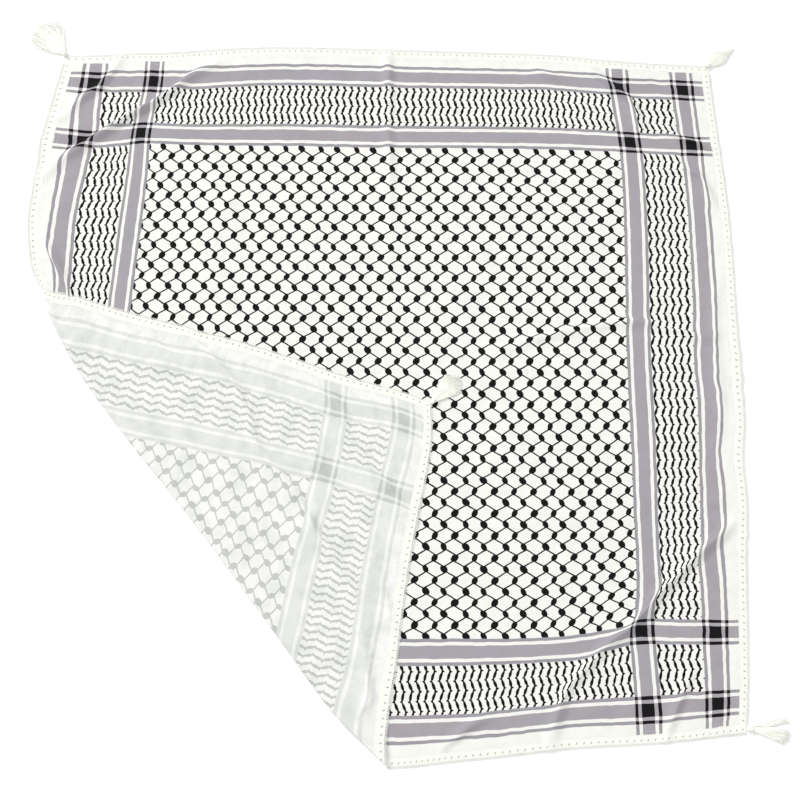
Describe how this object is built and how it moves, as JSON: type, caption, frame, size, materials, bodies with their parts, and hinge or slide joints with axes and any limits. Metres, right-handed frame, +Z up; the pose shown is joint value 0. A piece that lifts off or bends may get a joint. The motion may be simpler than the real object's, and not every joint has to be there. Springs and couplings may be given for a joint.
{
  "type": "headscarf",
  "caption": "Square chequered cotton headscarf laid flat with one corner folded over, lace edging and corner tassels.",
  "frame": {"origin": "middle of the true square on the underside, where the cloth rests on the table", "axes": "+X to the right along the bottom edge, +Y away from the viewer along the right edge, +Z up from the table"},
  "size_m": [1.259, 1.2321, 0.0124],
  "materials": {
    "white_cotton": "plain woven cotton with a woven grey and black pattern",
    "ivory_lace": "machine lace edging with picot loops",
    "ivory_thread": "soft loose cotton threads"
  },
  "bodies": {
    "root": {"cloth_square": "white_cotton", "lace_top": "ivory_lace", "lace_right": "ivory_lace", "lace_bottom": "ivory_lace", "lace_left": "ivory_lace", "tassel_top_left": "ivory_thread", "tassel_top_right": "ivory_thread", "tassel_bottom_right": "ivory_thread", "tassel_folded_corner": "ivory_thread"}
  },
  "joints": []
}
